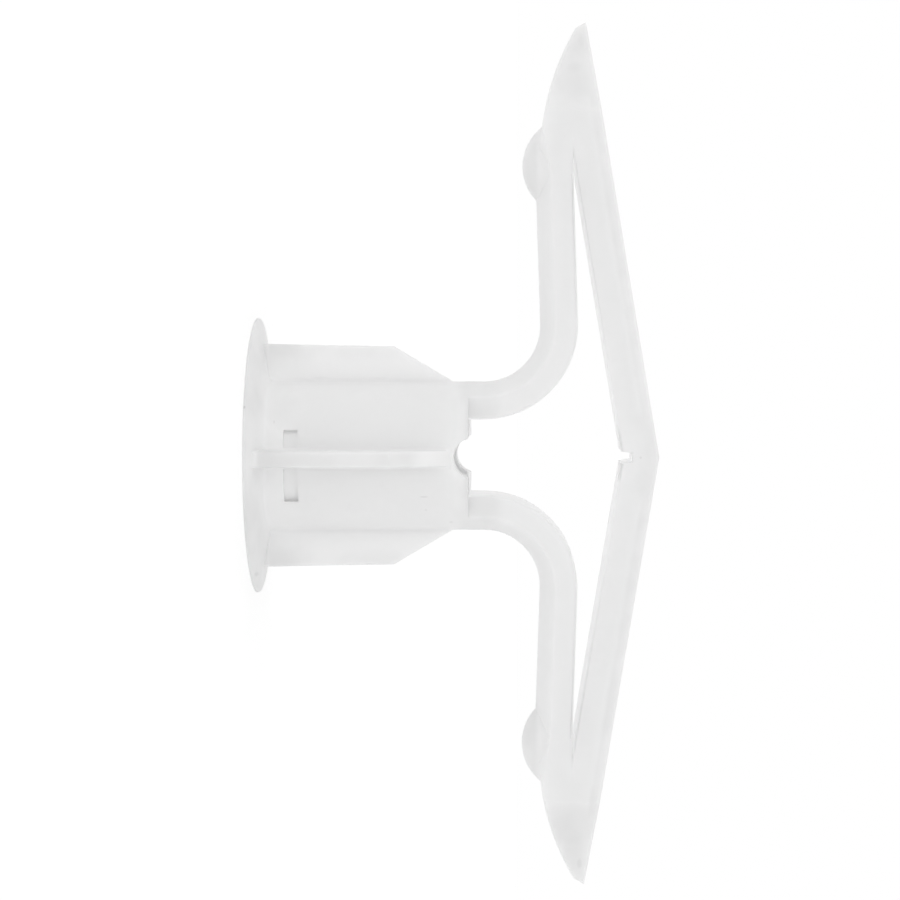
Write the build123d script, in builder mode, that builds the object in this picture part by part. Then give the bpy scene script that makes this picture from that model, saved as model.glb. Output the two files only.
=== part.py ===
from build123d import *
import os
from math import cos, radians, sin, sqrt, tan

# Hollow wall anchor, one polypropylene moulding, shown sprung open behind the wall.
# The bore runs along +Z, from the flange's outer face into the wall. The wings spread along X.

# Driving dimensions, in millimetres and degrees
hole_dia = 8.0              # hole drilled in the wall
hole_clearance = 0.2        # all round, between the hole and the folded anchor
edge_round = 0.15           # moulded rounding of the outer edges

flange_dia = 14.05
flange_rim = 0.08           # thickness at the feathered rim
flange_root = 0.65          # thickness where it meets the core
flange_fillet = 0.3         # between the flange and the core

core_height = 10.85         # from the flange's outer face to the core's end face
bore_dia = 3.6
mouth_dia = 5.6             # countersunk lead-in for the screw
mouth_angle = 90.0

fin_count = 4
fin_thickness = 0.8
fin_root_reach = 5.73       # from the bore's axis, at the flange
fin_corner_reach = 5.59     # from the bore's axis, where the slope begins
fin_corner_height = 7.0
fin_setback = 0.85          # from the core's end face down to where the slope runs out on the core
fin_run_in = 0.3            # how far the slope carries on inside the core
fin_fillet = 0.3            # between a fin and the core

slot_height = 2.0           # core-out slots beside the two side fins, near the flange
slot_width = 0.7
slot_gap = 0.1              # between a fin's face and the slots on either side of it
slot_lengths = (0.9, 1.7)   # along -X and along +X
slot_depth = 0.25

groove_radius = 1.0         # round groove across the core's end face
groove_offset = 0.27        # from the end face out to the groove's centre line

strap_width = 4.6           # arms and wings, across the flat
arm_thickness = 1.9
arm_root_depth = 0.85       # how far the arms run down into the core
arm_lead = 0.75             # straight part of an arm, from the end face to the elbow
elbow_radius = 3.8          # to the middle of the arm's thickness
elbow_turn = 91.85

wing_thickness = 1.83
wing_angle = 9.55           # how far the wings lean back towards the wall
wing_reach = 22.0           # from the bore's axis to a wing's point
join_reach = 14.2           # from the bore's axis to the root of the slit between arm and wing
slit_root = 0.09            # width of that slit at its root
crease_length = 0.8         # from the slit's root on, where arm and wing close on each other
hinge_thickness = 1.35      # what the notch leaves at the wings' apex
notch_mouth = 0.6
notch_floor = 0.45
eye_dia = 2.6               # screw hole through the hinge

nose_offset = 2.15          # from the slit's root out to where the curved point begins
nose_setback = 0.36         # of the nose's wall-side face behind the arm's
nose_lean = 6.5             # of that face, where the curved point begins
nose_taper_offset = 3.25    # from the slit's root out to where the sides begin to close in
point_width = 1.0           # across the point
point_thickness = 0.6       # of the blunted point
point_bevel = 0.35          # how far the blunting runs back from the very end

nub_offset = 0.54           # from the slit's root out to the middle of a nub
nub_radius = 2.5            # of the nub's sphere
nub_height = 0.65
nub_seat = 0.75             # how far the nub's cap runs down into the strap

# Derived positions
core_radius = hole_dia / 2 - hole_clearance
fin_end_height = core_height - fin_setback
fin_rise = (fin_end_height - fin_corner_height) / (fin_corner_reach - core_radius)
half_strap = strap_width / 2
arm_x = core_radius - arm_thickness / 2
elbow_height = core_height + arm_lead
elbow_x = arm_x + elbow_radius
turn = radians(elbow_turn)
lean = radians(wing_angle)


def arm_face(x, side):
    """Height of an arm's straight stretch at x: side is -1 by the wall, 1 by the wing, 0 midway."""
    end_x = elbow_x - elbow_radius * cos(turn)
    end_height = elbow_height + elbow_radius * sin(turn)
    slope = cos(turn) / sin(turn)
    return end_height + (x - end_x) * slope + side * arm_thickness / 2 / sin(turn)


wing_inner_apex = arm_face(join_reach, 1) + slit_root + join_reach * tan(lean)
apex_height = wing_inner_apex + wing_thickness / cos(lean)


def wing_outer(x):
    """Height of a wing's outer face at x."""
    return apex_height - x * tan(lean)


crease_reach = join_reach + crease_length
nose_start = join_reach + nose_offset
nose_taper_start = join_reach + nose_taper_offset
nose_height = arm_face(nose_start, -1) + nose_setback
point_x = wing_reach - point_bevel
nose_slope = radians(nose_lean)
nub_reach = join_reach + nub_offset
nub_face = arm_face(nub_reach, -1)
nub_base_radius = sqrt(nub_radius**2 - (nub_radius - nub_height - nub_seat) ** 2)

with BuildPart() as wings:
    # Wing, its join with the arm and its curved point, as seen from the side
    with BuildSketch(Plane.XZ):
        with BuildLine():
            ogive = TangentArc(
                (nose_start, nose_height),
                (point_x, wing_outer(point_x) - point_thickness),
                tangent=(cos(nose_slope), sin(nose_slope)),
            )
            Polyline(
                ogive @ 1,
                (wing_reach, wing_outer(wing_reach)),
                (0, apex_height),
                (0, wing_inner_apex),
                (join_reach, arm_face(join_reach, 1) + slit_root),
                (crease_reach, arm_face(crease_reach, 1)),
                (join_reach, arm_face(join_reach, 1)),
                (join_reach, nub_face),
                (nub_reach, nub_face),
                ogive @ 0,
            )
        make_face()
    extrude(amount=half_strap, both=True)

    # The wing in plan: a straight strap that closes in to the point
    with BuildSketch(Plane.XY):
        with BuildLine():
            Polyline(
                (0, -half_strap),
                (nose_taper_start, -half_strap),
                (wing_reach, -point_width / 2),
                (wing_reach, point_width / 2),
                (nose_taper_start, half_strap),
                (0, half_strap),
                close=True,
            )
        make_face()
    extrude(amount=apex_height, mode=Mode.INTERSECT)

    # Folded, the wings meet on the axis of the bore: each is rounded like the core about that line
    fold_axis = Plane(origin=(0, 0, apex_height), x_dir=(0, 1, 0), z_dir=(cos(lean), 0, -sin(lean)))
    with BuildSketch(fold_axis):
        Circle(core_radius)
    extrude(amount=2 * wing_reach, both=True, mode=Mode.INTERSECT)

    # Moulded rounding of the long edges and of the point
    long_edges = wings.edges().filter_by_position(Axis.X, 0, join_reach, inclusive=(False, False))
    point_edges = wings.edges().filter_by_position(
        Axis.X, nose_taper_start, wing_reach, inclusive=(True, False)
    )
    fillet(long_edges + point_edges, radius=edge_round)

    # Arm: a strap with its outer face rounded like the core, swept round the elbow
    with BuildLine(Plane.XZ):
        lead = Line((arm_x, core_height - arm_root_depth), (arm_x, elbow_height))
        elbow = JernArc(lead @ 1, lead % 1, elbow_radius, -elbow_turn)
        Line(elbow @ 1, (nub_reach, arm_face(nub_reach, 0)))
    with BuildSketch(Plane.XY.offset(core_height - arm_root_depth)) as arm_section:
        with Locations((arm_x, 0)):
            Rectangle(arm_thickness, strap_width)
        Circle(core_radius, mode=Mode.INTERSECT)
        strap_edges = arm_section.edges().filter_by(Axis.X)
        fillet(strap_edges.vertices(), radius=edge_round)
    sweep()

    # Nub: a round cap that bears on the wall
    with BuildSketch(Plane.XZ):
        with BuildLine():
            dome = TangentArc(
                (nub_reach, nub_face - nub_height),
                (nub_reach + nub_base_radius, nub_face + nub_seat),
                tangent=(1, 0),
            )
            Polyline(dome @ 1, (nub_reach, nub_face + nub_seat), dome @ 0)
        make_face()
    revolve(axis=Axis((nub_reach, 0, 0), (0, 0, 1)))

    mirror(about=Plane.YZ)

    # Hinge notch between the wings, and the screw's eye through it
    with BuildSketch(Plane.XZ):
        Polygon(
            (-notch_mouth / 2, wing_inner_apex - notch_mouth),
            (notch_mouth / 2, wing_inner_apex - notch_mouth),
            (notch_mouth / 2, wing_inner_apex),
            (notch_floor / 2, apex_height - hinge_thickness),
            (-notch_floor / 2, apex_height - hinge_thickness),
            (-notch_mouth / 2, wing_inner_apex),
            align=None,
        )
    extrude(amount=strap_width, both=True, mode=Mode.SUBTRACT)
    with BuildSketch(Plane.XY.offset(apex_height)):
        Circle(eye_dia / 2)
    extrude(amount=-2 * wing_thickness, mode=Mode.SUBTRACT)

with BuildPart() as fin:
    # One fin in plan, with the core's round and the moulded fillets between them
    with BuildSketch() as fin_plan:
        Circle(core_radius)
        Rectangle(fin_root_reach, fin_thickness, align=(Align.MIN, Align.CENTER))
        fillet(fin_plan.vertices().sort_by(Axis.X)[:-2], radius=fin_fillet)
    extrude(amount=core_height)

    # Its outline, as seen from the side
    with BuildSketch(Plane.XZ):
        Polygon(
            (0, 0),
            (fin_root_reach, 0),
            (fin_corner_reach, fin_corner_height),
            (core_radius - fin_run_in, fin_end_height + fin_run_in * fin_rise),
            (0, fin_end_height + fin_run_in * fin_rise),
            align=None,
        )
    extrude(amount=core_radius, both=True, mode=Mode.INTERSECT)

    # Moulded rounding of its outer edges
    fin_ends = fin.faces().filter_by(GeomType.PLANE).filter_by(lambda face: face.normal_at().X > 0.1)
    end_edges = fin_ends.edges().filter_by(GeomType.LINE).group_by(Axis.Y)
    fillet(end_edges[0] + end_edges[-1], radius=edge_round)

with BuildPart() as anchor:
    # Core and flange
    with BuildSketch(Plane.XZ) as core_section:
        Polygon(
            (0, 0),
            (flange_dia / 2, 0),
            (flange_dia / 2, flange_rim),
            (core_radius, flange_root),
            (core_radius, core_height),
            (0, core_height),
            align=None,
        )
        flange_corner = core_section.vertices().sort_by_distance((core_radius, flange_root))[0]
        end_corner = core_section.vertices().sort_by_distance((core_radius, core_height))[0]
        fillet(flange_corner, radius=flange_fillet)
        fillet(end_corner, radius=edge_round)
    revolve(axis=Axis.Z)
    with PolarLocations(0, fin_count):
        add(fin.part)

    # Core-out slots on either side of the two side fins
    with BuildSketch(Plane.XY.offset(slot_height - slot_width / 2)):
        for way, length in zip((-1, 1), slot_lengths):
            with Locations((way * (fin_thickness / 2 + slot_gap + length / 2), 0)):
                Rectangle(length, 2 * core_radius)
        Circle(core_radius - slot_depth, mode=Mode.SUBTRACT)
    extrude(amount=slot_width, mode=Mode.SUBTRACT)

    # Arms and wings
    add(wings.part)

    # Bore with its lead-in, and the groove across the end of the core
    with Locations(Plane.XY.rotated((180, 0, 0))):
        CounterSinkHole(bore_dia / 2, mouth_dia / 2, depth=core_height, counter_sink_angle=mouth_angle)
    with BuildSketch(Plane.XZ):
        with Locations((0, core_height + groove_offset)):
            Circle(groove_radius)
    extrude(amount=2 * core_radius, both=True, mode=Mode.SUBTRACT)

anchor.part.label = "anchor"

os.makedirs("parts", exist_ok=True)
export_step(anchor.part, "parts/anchor.step")
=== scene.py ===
import math
import bmesh
import bpy
import numpy as np
from mathutils import Matrix, Vector


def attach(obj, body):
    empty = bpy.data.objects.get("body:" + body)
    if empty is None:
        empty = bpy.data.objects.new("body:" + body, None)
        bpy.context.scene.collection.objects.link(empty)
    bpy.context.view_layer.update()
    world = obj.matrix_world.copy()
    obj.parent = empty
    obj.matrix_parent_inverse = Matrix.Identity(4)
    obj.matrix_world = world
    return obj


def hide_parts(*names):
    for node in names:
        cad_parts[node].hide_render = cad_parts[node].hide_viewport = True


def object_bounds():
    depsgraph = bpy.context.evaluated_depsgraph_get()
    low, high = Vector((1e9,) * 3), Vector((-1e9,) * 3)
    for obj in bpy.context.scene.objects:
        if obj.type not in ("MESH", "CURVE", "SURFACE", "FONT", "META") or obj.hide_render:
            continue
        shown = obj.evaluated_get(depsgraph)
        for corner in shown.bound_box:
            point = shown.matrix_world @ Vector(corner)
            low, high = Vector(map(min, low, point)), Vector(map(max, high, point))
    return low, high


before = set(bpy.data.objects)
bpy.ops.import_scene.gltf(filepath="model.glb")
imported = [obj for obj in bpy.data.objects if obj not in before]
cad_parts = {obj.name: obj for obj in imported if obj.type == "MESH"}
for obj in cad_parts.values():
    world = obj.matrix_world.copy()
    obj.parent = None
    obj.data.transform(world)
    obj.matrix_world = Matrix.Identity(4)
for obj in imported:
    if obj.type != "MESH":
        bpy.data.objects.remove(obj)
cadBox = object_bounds()
print("frame loaded:", sorted(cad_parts))


# Small helpers for shader node trees and groups

def newGroup(name, inputs, outputs):
    # inputs are (name, kind, value) and outputs (name, kind), where kind is Float, Color or Vector
    group = bpy.data.node_groups.new(name, "ShaderNodeTree")
    for label, kind, value in inputs:
        socket = group.interface.new_socket(name=label, in_out="INPUT", socket_type="NodeSocket" + kind)
        socket.default_value = value
    for label, kind in outputs:
        group.interface.new_socket(name=label, in_out="OUTPUT", socket_type="NodeSocket" + kind)
    return group, group.nodes.new("NodeGroupInput"), group.nodes.new("NodeGroupOutput")


def addMath(tree, operation, first, second=None, third=None, clamp=False):
    node = tree.nodes.new("ShaderNodeMath")
    node.operation = operation
    node.use_clamp = clamp
    for socket, value in zip(node.inputs, (first, second, third)):
        if isinstance(value, (int, float)):
            socket.default_value = value
        elif value is not None:
            tree.links.new(value, socket)
    return node.outputs[0]


def addProduct(tree, *factors):
    total = factors[0]
    for factor in factors[1:]:
        total = addMath(tree, "MULTIPLY", total, factor)
    return total


def addLargest(tree, values):
    total = values[0]
    for value in values[1:]:
        total = addMath(tree, "MAXIMUM", total, value)
    return total


def addLength(tree, first, second):
    squares = [addMath(tree, "MULTIPLY", value, value) for value in (first, second)]
    return addMath(tree, "SQRT", addMath(tree, "ADD", *squares))


def addSeparate(tree, vector):
    node = tree.nodes.new("ShaderNodeSeparateXYZ")
    tree.links.new(vector, node.inputs[0])
    return node.outputs[0], node.outputs[1], node.outputs[2]


def addNoise(tree, vector, scale, detail=2.0):
    node = tree.nodes.new("ShaderNodeTexNoise")
    tree.links.new(vector, node.inputs["Vector"])
    node.inputs["Scale"].default_value = scale
    node.inputs["Detail"].default_value = detail
    return node.outputs["Fac"]


def addRange(tree, value, low, high, toLow=0.0, toHigh=1.0):
    node = tree.nodes.new("ShaderNodeMapRange")
    node.interpolation_type = "SMOOTHSTEP"
    tree.links.new(value, node.inputs["Value"])
    for label, number in zip(("From Min", "From Max", "To Min", "To Max"), (low, high, toLow, toHigh)):
        node.inputs[label].default_value = number
    return node.outputs["Result"]


def mixColors(tree, factor, first, second):
    node = tree.nodes.new("ShaderNodeMix")
    node.data_type = "RGBA"
    tree.links.new(factor, node.inputs[0])
    node.inputs[6].default_value = first
    node.inputs[7].default_value = second
    return node.outputs[2]


# The moulding: the CAD solid's mesh, merged, with its curves made rounder

anchorShape = {
    "mergeDistance": 1e-7,      # metres
    "sagitta": 1.5e-6,          # an edge that bows out more than this is divided
    "passes": 3,
    "creaseAngle": 6.0,         # degrees: faces that meet at more than this meet in a crease
    "leastHalf": 0.15,          # of a divided face, to either side of the dividing line
    "leastAlong": 0.8,          # of an edge's length: how far its tangent has to go along it
}


def readMoulding(source):
    # The corner normals are the exact surfaces' own, so they are carried through the merge
    mesh = source.copy()
    normals = np.empty(3 * len(mesh.loops))
    mesh.corner_normals.foreach_get("vector", normals)
    mesh.attributes.new("exact", "FLOAT_VECTOR", "CORNER").data.foreach_set("vector", normals)
    bm = bmesh.new()
    bm.from_mesh(mesh)
    bmesh.ops.remove_doubles(bm, verts=bm.verts, dist=anchorShape["mergeDistance"])
    bm.to_mesh(mesh)
    bm.free()
    points = np.empty(3 * len(mesh.vertices))
    mesh.vertices.foreach_get("co", points)
    corners = np.empty(len(mesh.loops), dtype=int)
    mesh.loops.foreach_get("vertex_index", corners)
    normals = np.empty(3 * len(mesh.loops))
    mesh.attributes["exact"].data.foreach_get("vector", normals)
    bpy.data.meshes.remove(mesh)
    return points.reshape(-1, 3), corners.reshape(-1, 3), normals.reshape(-1, 3, 3)


def unit(vectors):
    return vectors / np.maximum(np.linalg.norm(vectors, axis=-1, keepdims=True), 1e-12)


def edgeTangent(chord, normalA, normalB):
    # Along a crease the edge runs square to both faces' normals, and elsewhere square to the shared one
    length = np.linalg.norm(chord, axis=1, keepdims=True)
    shared = unit(normalA + normalB)
    smooth = chord - (chord * shared).sum(1, keepdims=True) * shared
    crease = np.cross(normalA, normalB)
    crease = crease * np.sign((crease * chord).sum(1, keepdims=True))
    isCrease = (normalA * normalB).sum(1) < math.cos(math.radians(anchorShape["creaseAngle"]))
    tangent = unit(np.where(isCrease[:, None], crease, smooth)) * length
    strays = (tangent * chord).sum(1) < anchorShape["leastAlong"] * length[:, 0] ** 2
    return np.where(strays[:, None], chord, tangent)


def roundOut(points, faces, normals):
    # One pass: the middle of a bowed edge is (a + b) / 2 + (tangentA - tangentB) / 8, Hermite's curve
    count = len(faces)
    start = np.concatenate([faces[:, 0], faces[:, 1], faces[:, 2]])
    end = np.concatenate([faces[:, 1], faces[:, 2], faces[:, 0]])
    startNormal = np.concatenate([normals[:, 0], normals[:, 1], normals[:, 2]])
    endNormal = np.concatenate([normals[:, 1], normals[:, 2], normals[:, 0]])
    flip = (start > end)[:, None]
    low, high = np.minimum(start, end), np.maximum(start, end)
    lowNormal = np.where(flip, endNormal, startNormal)
    highNormal = np.where(flip, startNormal, endNormal)
    _, edge = np.unique(low * len(points) + high, return_inverse=True)
    sides = np.argsort(edge, kind="stable").reshape(-1, 2)
    one, other = sides[:, 0], sides[:, 1]
    a, b = points[low[one]], points[high[one]]
    bow = (edgeTangent(b - a, lowNormal[one], lowNormal[other])
           - edgeTangent(b - a, highNormal[one], highNormal[other])) / 8
    split = np.linalg.norm(bow, axis=1) > anchorShape["sagitta"]

    # An edge stays straight where its bow would fold a thin face over
    opposite = points[np.concatenate([faces[:, 2], faces[:, 0], faces[:, 1]])]
    faceNormal = np.cross(points[end] - points[start], opposite - points[start])
    bowed = ((a + b) / 2 + bow)[edge]
    firstHalf = (np.cross(bowed - points[start], opposite - points[start]) * faceNormal).sum(1)
    lastHalf = (np.cross(points[end] - bowed, opposite - bowed) * faceNormal).sum(1)
    folds = np.minimum(firstHalf, lastHalf) < anchorShape["leastHalf"] * (faceNormal**2).sum(1)
    split[edge[folds]] = False

    middle = np.full(len(one), -1)
    middle[split] = len(points) + np.arange(split.sum())
    points = np.concatenate([points, ((a + b) / 2 + bow)[split]])

    middles = middle[edge].reshape(3, count).T
    middleNormals = unit(normals + np.roll(normals, -1, axis=1))
    newFaces, newNormals = [], []
    patterns = {
        0: [(0, 1, 2)],
        1: [(0, 3, 2), (3, 1, 2)],
        3: [(0, 3, 2), (3, 4, 2), (3, 1, 4)],
        7: [(0, 3, 5), (3, 1, 4), (5, 4, 2), (3, 4, 5)],
    }
    for turn in range(3):
        # Each face is turned until its divided edges come first
        six = np.concatenate([np.roll(faces, -turn, axis=1), np.roll(middles, -turn, axis=1)], axis=1)
        sixNormals = np.concatenate(
            [np.roll(normals, -turn, axis=1), np.roll(middleNormals, -turn, axis=1)], axis=1)
        code = (six[:, 3:] >= 0) @ np.array([1, 2, 4])
        for pattern, pieces in patterns.items():
            if turn > 0 and pattern in (0, 7):
                continue
            chosen = code == pattern
            for piece in pieces:
                newFaces.append(six[chosen][:, piece])
                newNormals.append(sixNormals[chosen][:, piece])
    return points, np.concatenate(newFaces), np.concatenate(newNormals)


def buildAnchor():
    points, faces, normals = readMoulding(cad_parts["anchor"].data)
    for _ in range(anchorShape["passes"]):
        points, faces, normals = roundOut(points, faces, normals)
    mesh = bpy.data.meshes.new("anchor_moulding")
    mesh.from_pydata(points, [], faces)
    mesh.shade_smooth()
    mesh.normals_split_custom_set(unit(normals).reshape(-1, 3))
    anchor = bpy.data.objects.new("anchor_moulding", mesh)
    bpy.context.scene.collection.objects.link(anchor)
    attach(anchor, "root")
    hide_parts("anchor")
    return anchor


# Natural polypropylene: milky, a little waxy, satin

plastic = {
    "plasticColor": (0.985, 0.985, 0.985, 1.0),
    "paintedShadeColor": (0.74, 0.74, 0.74, 1.0),   # painted shade: the grey that stands in for light lost through thin parts and for faces turned from the light
    "flangeShade": (0.16, 0.36),            # of that painted shade, in the flange: by its middle, and further out
    "plusXShade": 0.06,                   # painted shade, growing towards +X, the side turned from the light
    "ior": 1.49,
    "roughness": (0.40, 0.50),
    "roughnessClouds": (0.3, 0.7),          # the noise values that give these
    "subsurfaceScale": (0.0006, 0.1500),    # metres: in general, and at shaded faces
    "subsurfaceWeight": (1.0, 0.10),        # in general, and where light that enters would be lost
    "cloudScale": 420.0,                    # noise scales are per metre
    "cloudRange": (0.35, 0.65),             # the noise values of the darkest and the lightest cloud
    "cloudAmount": 0.07,
    "grainScale": 16000.0,
    "grainDepth": 0.0000025,
    "waveScale": 900.0,
    "waveDepth": 0.000006,
    "partingWidth": 0.00005,
    "partingHeight": 0.000012,
    "partingStart": (0.0007, 0.0010),       # up Z, over the flange
}

# How much painted shade each zone has, and where it starts and ends, in metres
paintedShadeZones = {
    "point": (0.0162, 0.0190, 0.45),        # along X, out to the wings' points
    "nub": (0.01455, 0.01415, 0.45),        # down Z, into the nubs
    "sideFin": (0.0040, 0.0052, 0.55),      # along Y, out to the edge of a side fin
    "finFlank": (0.00034, 0.00040, 0.42),   # along X, on the sides of the side fins
    "wingFin": (0.0040, 0.0056, 0.38),      # along X, on the fins under the arms
    "apex": (0.0182, 0.0204, 0.58),         # up Z, to the hinge
    "root": (0.0098, 0.0108, 0.48),         # up Z, where an arm leaves the core
    "wingBack": (0.01966, 0.02004, 0.42),   # up Z at X = 0, over the wings' rounded outer faces
}

# Where those zones begin and are full, across the way they run, in metres
paintedShadeLimits = {
    "flange": (0.0007, 0.0004),         # down Z, into the flange
    "flangeMiddle": (0.0010, 0.0026),   # along X, out of the flange's middle
    "plusXSide": (-0.004, 0.008),         # along X, from one half to the other: where the painted shade of the +X side begins and is full
    "nubs": (0.0118, 0.0128),           # along X, out to the nubs
    "finEnd": (0.0104, 0.0098),         # down Z, from the core's end
    "hinge": (0.0045, 0.0015),          # along X, in to the hinge
    "rootEnd": (0.0134, 0.0116),        # down Z, from the elbow
    "flankStart": 0.0039,               # Y, and out
    "flankSide": 0.00045,               # X, and in
}

# Where light travels otherwise than in the rest of the plastic, in metres
lightZones = {
    "strapFront": 0.0023,               # Y of the straps' front faces, which aren't shaded
    "frontFade": 0.00003,               # how far behind them a face is wholly shaded
    "gapFloor": 0.0160,                 # Z of an arm's face beneath the gap, and up
    "gapRoot": 0.0150,                  # X of its end
    "wingMiddle": (-0.168, 0.0196),     # Z across the middle of a wing: slope along X, and at X = 0
    "bendCentre": (0.00665, 0.0116),    # X and Z
    "bendRadius": 0.0046,               # from there to an arm's face towards the bore, and out
    "coreEnd": 0.0107,                  # Z, and up
    "coreFront": 0.00232,               # Y, and out
    "slotHeights": (0.00163, 0.00237),
    "slotReach": (-0.0012, 0.0020),     # X
    "slotRadius": 0.00377,              # from the bore's axis to the slots' floor, and in
    "flangeTop": (0.0010, 0.0030),      # Z, from the flange up into the core
    "join": (0.0150, 0.0161, 0.0026, 0.0011, 0.5),  # X and Z of its middle, half its lengths, how much
    "joinFront": 0.00229,               # Y, and out
}

spotFade = (1.0, 0.3)   # of a soft spot's half lengths: where it begins, and where it is full

# Darker spots on the front, painted shade at the wing points, hinge, core, its foot and the fin roots: X and
# Z of the middle, half their length along X and Z, and how dark
paintedShadeSpots = [
    (-0.0210, 0.0165, 0.00050, 0.00025, 0.12),      # points of the wings
    (-0.0196, 0.0162, 0.00035, 0.00045, 0.10),
    (0.0208, 0.01650, 0.00040, 0.00018, 0.25),
    (0.0200, 0.0162, 0.00130, 0.00060, 0.08),
    (0.0, 0.0195, 0.00009, 0.00009, 0.40),          # hinge
    (0.00194, 0.00866, 0.00006, 0.00028, 0.45),     # core
    (0.00263, 0.00874, 0.00008, 0.00010, 0.30),
    (0.00329, 0.00997, 0.00008, 0.00014, 0.35),
    (-0.00180, 0.00117, 0.00013, 0.00006, 0.50),
    (-0.00280, 0.00140, 0.00180, 0.00130, 0.20),    # foot of the core
    (-0.00395, 0.00330, 0.00012, 0.00060, 0.25),    # root of a fin
    (-0.00395, 0.00630, 0.00012, 0.00045, 0.20),
    (0.00590, 0.00018, 0.00018, 0.00006, 0.35),     # flange
    (-0.00260, 0.00006, 0.00010, 0.00006, 0.60),
]


def addSpot(tree, x, z, spot):
    # Full in its middle and gone at its half lengths
    middleX, middleZ, halfX, halfZ, amount = spot
    away = addLength(tree, addMath(tree, "DIVIDE", addMath(tree, "SUBTRACT", x, middleX), halfX),
                     addMath(tree, "DIVIDE", addMath(tree, "SUBTRACT", z, middleZ), halfZ))
    return addRange(tree, away, *spotFade, 0.0, amount)


def addShadedMask(tree, x, y, z):
    # Faces that other straps shade: what light they have comes through the plastic
    zone = lightZones
    offFront = addRange(tree, y, zone["strapFront"], zone["strapFront"] - zone["frontFade"])
    slope, start = zone["wingMiddle"]
    underWing = addMath(tree, "LESS_THAN", z, addMath(tree, "MULTIPLY_ADD", x, slope, start))
    inGap = addMath(tree, "GREATER_THAN", z, zone["gapFloor"])
    beforeRoot = addMath(tree, "LESS_THAN", x, zone["gapRoot"])
    centreX, centreZ = zone["bendCentre"]
    fromCentre = addLength(tree, addMath(tree, "SUBTRACT", x, centreX),
                           addMath(tree, "SUBTRACT", z, centreZ))
    inBend = addProduct(tree, addMath(tree, "GREATER_THAN", fromCentre, zone["bendRadius"]),
                        addMath(tree, "GREATER_THAN", z, zone["coreEnd"]),
                        addMath(tree, "LESS_THAN", x, centreX))
    return addProduct(tree, addMath(tree, "MAXIMUM", inGap, inBend), offFront, underWing, beforeRoot)


def addShallowMask(tree, across, x, y, z):
    # Where light that enters would be lost: over the floor, beside the bore and round the gap's end
    zone = lightZones
    low, high = zone["flangeTop"]
    flange = addRange(tree, z, high, low)
    coreEnd = addProduct(tree, addMath(tree, "GREATER_THAN", y, zone["coreFront"]),
                         addMath(tree, "GREATER_THAN", z, zone["coreEnd"]))
    slots = addMath(tree, "LESS_THAN", addLength(tree, x, y), zone["slotRadius"])
    for value, (low, high) in ((z, zone["slotHeights"]), (across, zone["slotReach"])):
        slots = addProduct(tree, slots, addMath(tree, "GREATER_THAN", value, low),
                           addMath(tree, "LESS_THAN", value, high))
    join = addProduct(tree, addSpot(tree, x, z, zone["join"]),
                      addMath(tree, "GREATER_THAN", y, zone["joinFront"]))
    return addLargest(tree, [flange, coreEnd, slots, join])


def buildPaintedShadeGroup():
    # Object coordinates in, the share of painted shade out
    group, inner, outer = newGroup(
        "paintedShadeZones", [("Place", "Vector", (0.0, 0.0, 0.0))], [("PaintedShade", "Float")])
    across, y, z = addSeparate(group, inner.outputs["Place"])
    x = addMath(group, "ABSOLUTE", across)
    y = addMath(group, "ABSOLUTE", y)

    def zone(value, name):
        start, end, amount = paintedShadeZones[name]
        return addRange(group, value, start, end, 0.0, amount)

    def limit(value, name, low=0.0, high=1.0):
        return addRange(group, value, *paintedShadeLimits[name], low, high)

    flange = limit(z, "flange")
    aboveFlange = addMath(group, "SUBTRACT", 1.0, flange)
    belowEnd = limit(z, "finEnd")
    onFlank = addProduct(group, addMath(group, "GREATER_THAN", y, paintedShadeLimits["flankStart"]),
                         addMath(group, "LESS_THAN", x, paintedShadeLimits["flankSide"]))
    fromApex = addMath(group, "MULTIPLY_ADD", x, -lightZones["wingMiddle"][0], z)
    # Painted shade: each zone's darker grey where the light falls off
    total = addLargest(group, [
        zone(x, "point"),
        addProduct(group, zone(z, "nub"), limit(x, "nubs")),
        addProduct(group, zone(y, "sideFin"), aboveFlange),
        addProduct(group, zone(x, "wingFin"), aboveFlange, belowEnd),
        addProduct(group, zone(z, "apex"), limit(x, "hinge")),
        addProduct(group, zone(z, "root"), limit(z, "rootEnd")),
        addProduct(group, zone(x, "finFlank"), onFlank, aboveFlange, belowEnd),
        zone(fromApex, "wingBack"),
        addProduct(group, flange, limit(x, "flangeMiddle", *plastic["flangeShade"])),
    ])
    # Painted shade on the +X side, turned from the light
    sideShade = limit(across, "plusXSide", 0.0, plastic["plusXShade"])
    group.links.new(addMath(group, "ADD", total, sideShade), outer.inputs["PaintedShade"])
    return group


def buildShadeSpotsGroup():
    group, inner, outer = newGroup(
        "paintedShadeSpots", [("Place", "Vector", (0.0, 0.0, 0.0))], [("SpotShade", "Float")])
    x, y, z = addSeparate(group, inner.outputs["Place"])
    total = addLargest(group, [addSpot(group, x, z, mark) for mark in paintedShadeSpots])
    # Painted shade spots only on the -Y side, the side the camera sees
    group.links.new(addProduct(group, total, addMath(group, "LESS_THAN", y, 0.0)), outer.inputs["SpotShade"])
    return group


def buildReliefGroup():
    # Heights in metres: fine moulding grain, slow waves in the skin, and the mould's parting line
    group, inner, outer = newGroup(
        "mouldingRelief", [("Place", "Vector", (0.0, 0.0, 0.0))], [("Height", "Float"), ("Cloud", "Float")])
    place = inner.outputs["Place"]
    y, z = addSeparate(group, place)[1:]
    grain = addProduct(group, addNoise(group, place, plastic["grainScale"], 1.0), plastic["grainDepth"])
    wave = addProduct(group, addNoise(group, place, plastic["waveScale"]), plastic["waveDepth"])
    ridge = addRange(group, addMath(group, "ABSOLUTE", y), plastic["partingWidth"], 0.0,
                     0.0, plastic["partingHeight"])
    ridge = addProduct(group, ridge, addRange(group, z, *plastic["partingStart"]))
    height = addMath(group, "ADD", addMath(group, "ADD", grain, wave), ridge)
    group.links.new(height, outer.inputs["Height"])
    group.links.new(addNoise(group, place, plastic["cloudScale"], 3.0), outer.inputs["Cloud"])
    return group


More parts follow.
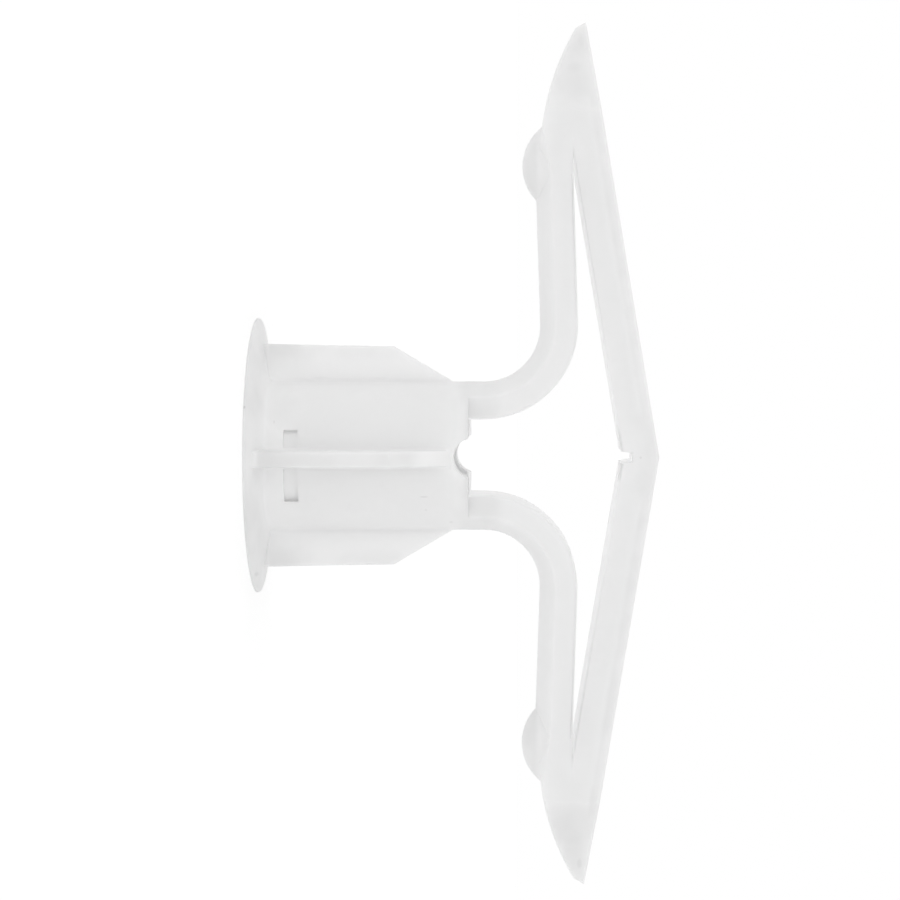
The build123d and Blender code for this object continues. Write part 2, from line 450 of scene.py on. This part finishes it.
def buildPlastic():
    material = bpy.data.materials.new("natural_polypropylene")
    material.use_nodes = True
    tree = material.node_tree
    shader = tree.nodes["Principled BSDF"]
    place = tree.nodes.new("ShaderNodeTexCoord").outputs["Object"]
    shader.inputs["IOR"].default_value = plastic["ior"]
    shader.inputs["Subsurface Radius"].default_value = (1.0, 1.0, 1.0)

    def addGroup(group):
        node = tree.nodes.new("ShaderNodeGroup")
        node.node_tree = group
        tree.links.new(place, node.inputs["Place"])
        return node.outputs

    shadeOutputs = addGroup(buildPaintedShadeGroup())
    relief = addGroup(buildReliefGroup())
    shadeSpots = addGroup(buildShadeSpotsGroup())

    # Base colour: the plastic's own white with its random clouds, darkened by painted shade from the zones
    # and spots
    cloud = addRange(tree, relief["Cloud"], *plastic["cloudRange"], -1.0, 1.0)
    cloudAndShade = addMath(tree, "MULTIPLY_ADD", cloud, plastic["cloudAmount"], shadeOutputs["PaintedShade"])
    cloudAndShade = addMath(tree, "ADD", cloudAndShade, shadeSpots["SpotShade"], clamp=True)
    color = mixColors(tree, cloudAndShade, plastic["plasticColor"], plastic["paintedShadeColor"])
    tree.links.new(color, shader.inputs["Base Color"])
    roughness = addRange(tree, relief["Cloud"], *plastic["roughnessClouds"], *plastic["roughness"])
    tree.links.new(roughness, shader.inputs["Roughness"])

    across, y, z = addSeparate(tree, place)
    x = addMath(tree, "ABSOLUTE", across)
    y = addMath(tree, "ABSOLUTE", y)
    weight = addRange(tree, addShallowMask(tree, across, x, y, z), 0.0, 1.0, *plastic["subsurfaceWeight"])
    tree.links.new(weight, shader.inputs["Subsurface Weight"])
    scale = addRange(tree, addShadedMask(tree, x, y, z), 0.0, 1.0, *plastic["subsurfaceScale"])
    tree.links.new(scale, shader.inputs["Subsurface Scale"])

    bump = tree.nodes.new("ShaderNodeBump")
    bump.inputs["Strength"].default_value = 1.0
    bump.inputs["Distance"].default_value = 1.0
    tree.links.new(relief["Height"], bump.inputs["Height"])
    tree.links.new(bump.outputs["Normal"], shader.inputs["Normal"])
    return material


# Stage: floor, light all round and camera

stage = {
    "floorSize": 3.0,
    "floorColor": (0.98, 0.98, 0.98, 1.0),
    "floorSeen": (1.16, 1.16, 1.16, 1.0),   # bare floor burns out to white, a shadow on it doesn't
    "worldStrength": 0.875,
    "worldSeen": 1.0,                       # by the camera: white
    "worldLean": (-0.03, 0.0, 0.02),        # how much stronger the light is from each way
}


def buildStage():
    mesh = bpy.data.meshes.new("floor")
    half = stage["floorSize"] / 2
    corners = [(-half, -half, 0.0), (half, -half, 0.0), (half, half, 0.0), (-half, half, 0.0)]
    mesh.from_pydata(corners, [], [(0, 1, 2, 3)])
    floor = bpy.data.objects.new("floor", mesh)
    floor.location.z = cadBox[0].z
    bpy.context.scene.collection.objects.link(floor)
    material = bpy.data.materials.new("floor_white")
    material.use_nodes = True
    tree = material.node_tree
    tree.nodes.clear()
    rays = tree.nodes.new("ShaderNodeLightPath")
    lit = tree.nodes.new("ShaderNodeBsdfDiffuse")
    color = mixColors(tree, rays.outputs["Is Camera Ray"], stage["floorColor"], stage["floorSeen"])
    out = tree.nodes.new("ShaderNodeOutputMaterial")
    tree.links.new(color, lit.inputs["Color"])
    tree.links.new(lit.outputs[0], out.inputs["Surface"])
    floor.data.materials.append(material)


def buildWorld():
    world = bpy.data.worlds.new("studio")
    bpy.context.scene.world = world
    world.use_nodes = True
    tree = world.node_tree
    background = tree.nodes["Background"]
    background.inputs["Color"].default_value = (1.0, 1.0, 1.0, 1.0)
    direction = tree.nodes.new("ShaderNodeTexCoord").outputs["Generated"]
    lean = tree.nodes.new("ShaderNodeVectorMath")
    lean.operation = "DOT_PRODUCT"
    lean.inputs[1].default_value = stage["worldLean"]
    tree.links.new(direction, lean.inputs[0])
    rays = tree.nodes.new("ShaderNodeLightPath")
    strength = tree.nodes.new("ShaderNodeMix")
    strength.data_type = "FLOAT"
    strength.inputs["B"].default_value = stage["worldSeen"]
    tree.links.new(addMath(tree, "ADD", lean.outputs["Value"], stage["worldStrength"]), strength.inputs["A"])
    tree.links.new(rays.outputs["Is Camera Ray"], strength.inputs["Factor"])
    tree.links.new(strength.outputs["Result"], background.inputs["Strength"])


cameraPlace = {
    "eye": (-0.0051538, -0.1252274, 0.0143329),     # metres
    "aim": (-0.00028, 0.0, 0.0098465),
    "up": (-0.99924445, 0.0388348, -0.00154455),    # the frame's -X, a touch rolled
    "lens": 97.906,                                 # millimetres, as the sensor's width is
    "sensor": 36.0,
    "clip": (0.01, 10.0),                           # metres
}


def buildCamera():
    data = bpy.data.cameras.new("camera")
    data.lens = cameraPlace["lens"]
    data.sensor_width = cameraPlace["sensor"]
    data.clip_start, data.clip_end = cameraPlace["clip"]
    camera = bpy.data.objects.new("camera", data)
    bpy.context.scene.collection.objects.link(camera)
    eye = Vector(cameraPlace["eye"])
    back = (eye - Vector(cameraPlace["aim"])).normalized()
    right = Vector(cameraPlace["up"]).cross(back).normalized()
    up = back.cross(right)
    turn = Matrix((right, up, back)).transposed()
    camera.matrix_world = Matrix.Translation(eye) @ turn.to_4x4()
    bpy.context.scene.camera = camera


anchor = buildAnchor()
print("moulding:", len(anchor.data.polygons), "faces")
anchor.data.materials.append(buildPlastic())
print("plastic")
buildStage()
buildWorld()
buildCamera()
bpy.context.scene.view_settings.view_transform = "Standard"
print("floor, light and camera")
